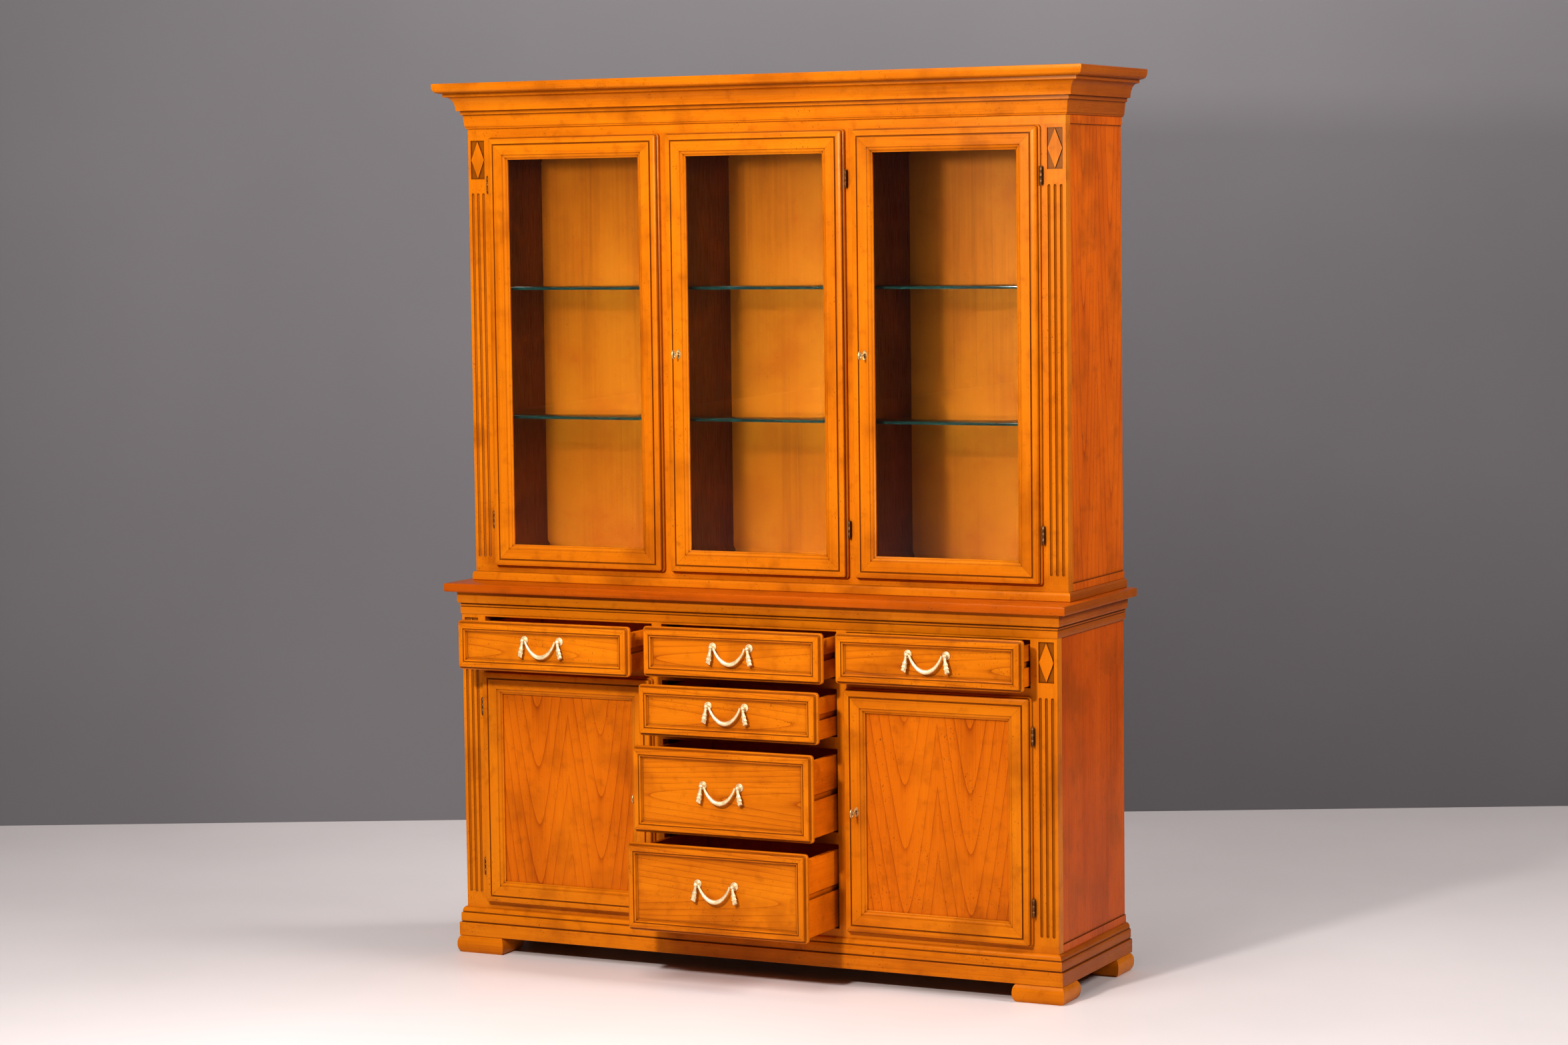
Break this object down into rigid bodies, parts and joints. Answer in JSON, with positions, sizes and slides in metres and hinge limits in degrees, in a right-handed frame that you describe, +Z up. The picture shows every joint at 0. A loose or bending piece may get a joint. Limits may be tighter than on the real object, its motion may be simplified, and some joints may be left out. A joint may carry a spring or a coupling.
{
  "type": "china cabinet",
  "caption": "Glazed hutch on a sideboard base: hinged glass doors over glass shelves, drawers with swinging pulls, and panelled lower doors.",
  "frame": {"origin": "on the floor under the middle of the object's box with the drawers standing open as stored", "axes": "+Z up, -Y out of the doors and drawers, +X to the right of someone who faces the cabinet"},
  "size_m": [1.703, 0.6244, 2.1393],
  "materials": {
    "cherry": "satin-gloss honey cherry lacquer with dark brown glaze in the grooves",
    "side_cherry": "satin-gloss cherry lacquer, deeper in tone",
    "figured_cherry": "satin-gloss figured cherry veneer",
    "inner_wood": "satin cherry veneer with straight grain",
    "drawer_wood": "satin cherry lacquer on the drawer boxes",
    "door_glass": "clear bevelled glass",
    "shelf_glass": "clear glass with dark teal edges",
    "satin_brass": "satin pale champagne brass",
    "aged_brass": "worn aged brass"
  },
  "bodies": {
    "carcass": {"crown_cornice": "cherry", "hutch_face_frame": "cherry", "hutch_base": "cherry", "hutch_back_panel": "inner_wood", "counter_top": "cherry", "counter_moulding": "cherry", "plinth_moulding": "cherry", "base_face_frame": "cherry", "base_bottom_board": "inner_wood", "base_back_panel": "inner_wood", "hutch_side_left": "side_cherry", "hutch_partition_left": "inner_wood", "base_side_left": "side_cherry", "base_partition_left": "inner_wood", "front_foot_left": "cherry", "back_foot_left": "cherry", "hutch_side_right": "side_cherry", "hutch_partition_right": "inner_wood", "base_side_right": "side_cherry", "base_partition_right": "inner_wood", "front_foot_right": "cherry", "back_foot_right": "cherry", "lower_glass_shelf_left": "shelf_glass", "upper_glass_shelf_left": "shelf_glass", "lower_glass_shelf_centre": "shelf_glass", "upper_glass_shelf_centre": "shelf_glass", "lower_glass_shelf_right": "shelf_glass", "upper_glass_shelf_right": "shelf_glass"},
    "hutch_door_left": {"hutch_door_frame_left": "cherry", "hutch_door_glass_left": "door_glass"},
    "hutch_door_centre": {"hutch_door_frame_centre": "cherry", "hutch_door_glass_centre": "door_glass"},
    "hutch_key_centre": {"hutch_key_centre": "aged_brass"},
    "hutch_door_right": {"hutch_door_frame_right": "cherry", "hutch_door_glass_right": "door_glass"},
    "hutch_key_right": {"hutch_key_right": "aged_brass"},
    "lower_door_left": {"lower_door_frame_left": "cherry", "lower_door_panel_left": "figured_cherry"},
    "lower_key_left": {"lower_key_left": "aged_brass"},
    "lower_door_right": {"lower_door_frame_right": "cherry", "lower_door_panel_right": "figured_cherry"},
    "lower_key_right": {"lower_key_right": "aged_brass"},
    "drawer_left_top": {"drawer_front_left_top": "cherry", "drawer_box_left_top": "drawer_wood"},
    "bail_left_top": {"drawer_bail_left_top": "satin_brass"},
    "drawer_right_top": {"drawer_front_right_top": "cherry", "drawer_box_right_top": "drawer_wood"},
    "bail_right_top": {"drawer_bail_right_top": "satin_brass"},
    "drawer_centre_first": {"drawer_front_centre_first": "cherry", "drawer_box_centre_first": "drawer_wood"},
    "bail_centre_first": {"drawer_bail_centre_first": "satin_brass"},
    "drawer_centre_second": {"drawer_front_centre_second": "cherry", "drawer_box_centre_second": "drawer_wood"},
    "bail_centre_second": {"drawer_bail_centre_second": "satin_brass"},
    "drawer_centre_third": {"drawer_front_centre_third": "cherry", "drawer_box_centre_third": "drawer_wood"},
    "bail_centre_third": {"drawer_bail_centre_third": "satin_brass"},
    "drawer_centre_top": {"drawer_front_centre_top": "cherry", "drawer_box_centre_top": "drawer_wood"},
    "bail_centre_top": {"drawer_bail_centre_top": "satin_brass"}
  },
  "joints": [
    {"name": "hutch_door_left_hinge", "type": "hinge", "parent": "carcass", "child": "hutch_door_left", "pos_m": [-0.729, -0.05075, 0], "axis": [0, 0, -1], "range_deg": [0, 110]},
    {"name": "hutch_door_centre_hinge", "type": "hinge", "parent": "carcass", "child": "hutch_door_centre", "pos_m": [0.239, -0.05075, 0], "axis": [0, 0, 1], "range_deg": [0, 110]},
    {"name": "hutch_key_centre_turn", "type": "hinge", "parent": "hutch_door_centre", "child": "hutch_key_centre", "pos_m": [-0.201, -0.07275, 1.4816], "axis": [0, -1, 0], "range_deg": [0, 90]},
    {"name": "hutch_door_right_hinge", "type": "hinge", "parent": "carcass", "child": "hutch_door_right", "pos_m": [0.729, -0.05075, 0], "axis": [0, 0, 1], "range_deg": [0, 110]},
    {"name": "hutch_key_right_turn", "type": "hinge", "parent": "hutch_door_right", "child": "hutch_key_right", "pos_m": [0.289, -0.07275, 1.4816], "axis": [0, -1, 0], "range_deg": [0, 90]},
    {"name": "lower_door_left_hinge", "type": "hinge", "parent": "carcass", "child": "lower_door_left", "pos_m": [-0.729, -0.12275, 0], "axis": [0, 0, -1], "range_deg": [0, 110]},
    {"name": "lower_key_left_turn", "type": "hinge", "parent": "lower_door_left", "child": "lower_key_left", "pos_m": [-0.289, -0.14475, 0.4175], "axis": [0, -1, 0], "range_deg": [0, 90]},
    {"name": "lower_door_right_hinge", "type": "hinge", "parent": "carcass", "child": "lower_door_right", "pos_m": [0.729, -0.12275, 0], "axis": [0, 0, 1], "range_deg": [0, 110]},
    {"name": "lower_key_right_turn", "type": "hinge", "parent": "lower_door_right", "child": "lower_key_right", "pos_m": [0.289, -0.14475, 0.4175], "axis": [0, -1, 0], "range_deg": [0, 90]},
    {"name": "drawer_left_top_slide", "type": "slide", "parent": "carcass", "child": "drawer_left_top", "axis": [0, -1, 0], "range_m": [-0.112, 0.218]},
    {"name": "bail_left_top_swing", "type": "hinge", "parent": "drawer_left_top", "child": "bail_left_top", "pos_m": [-0.49, -0.25075, 0.79975], "axis": [-1, 0, 0], "range_deg": [-6, 85]},
    {"name": "drawer_right_top_slide", "type": "slide", "parent": "carcass", "child": "drawer_right_top", "axis": [0, -1, 0], "range_m": [-0.045, 0.285]},
    {"name": "bail_right_top_swing", "type": "hinge", "parent": "drawer_right_top", "child": "bail_right_top", "pos_m": [0.49, -0.18375, 0.79975], "axis": [-1, 0, 0], "range_deg": [-6, 85]},
    {"name": "drawer_centre_first_slide", "type": "slide", "parent": "carcass", "child": "drawer_centre_first", "axis": [0, -1, 0], "range_m": [-0.168, 0.162]},
    {"name": "bail_centre_first_swing", "type": "hinge", "parent": "drawer_centre_first", "child": "bail_centre_first", "pos_m": [0, -0.30675, 0.2515], "axis": [-1, 0, 0], "range_deg": [-6, 85]},
    {"name": "drawer_centre_second_slide", "type": "slide", "parent": "carcass", "child": "drawer_centre_second", "axis": [0, -1, 0], "range_m": [-0.135, 0.195]},
    {"name": "bail_centre_second_swing", "type": "hinge", "parent": "drawer_centre_second", "child": "bail_centre_second", "pos_m": [0, -0.27375, 0.479], "axis": [-1, 0, 0], "range_deg": [-6, 85]},
    {"name": "drawer_centre_third_slide", "type": "slide", "parent": "carcass", "child": "drawer_centre_third", "axis": [0, -1, 0], "range_m": [-0.103, 0.227]},
    {"name": "bail_centre_third_swing", "type": "hinge", "parent": "drawer_centre_third", "child": "bail_centre_third", "pos_m": [0, -0.24175, 0.663], "axis": [-1, 0, 0], "range_deg": [-6, 85]},
    {"name": "drawer_centre_top_slide", "type": "slide", "parent": "carcass", "child": "drawer_centre_top", "axis": [0, -1, 0], "range_m": [-0.076, 0.254]},
    {"name": "bail_centre_top_swing", "type": "hinge", "parent": "drawer_centre_top", "child": "bail_centre_top", "pos_m": [0, -0.21475, 0.79975], "axis": [-1, 0, 0], "range_deg": [-6, 85]}
  ]
}
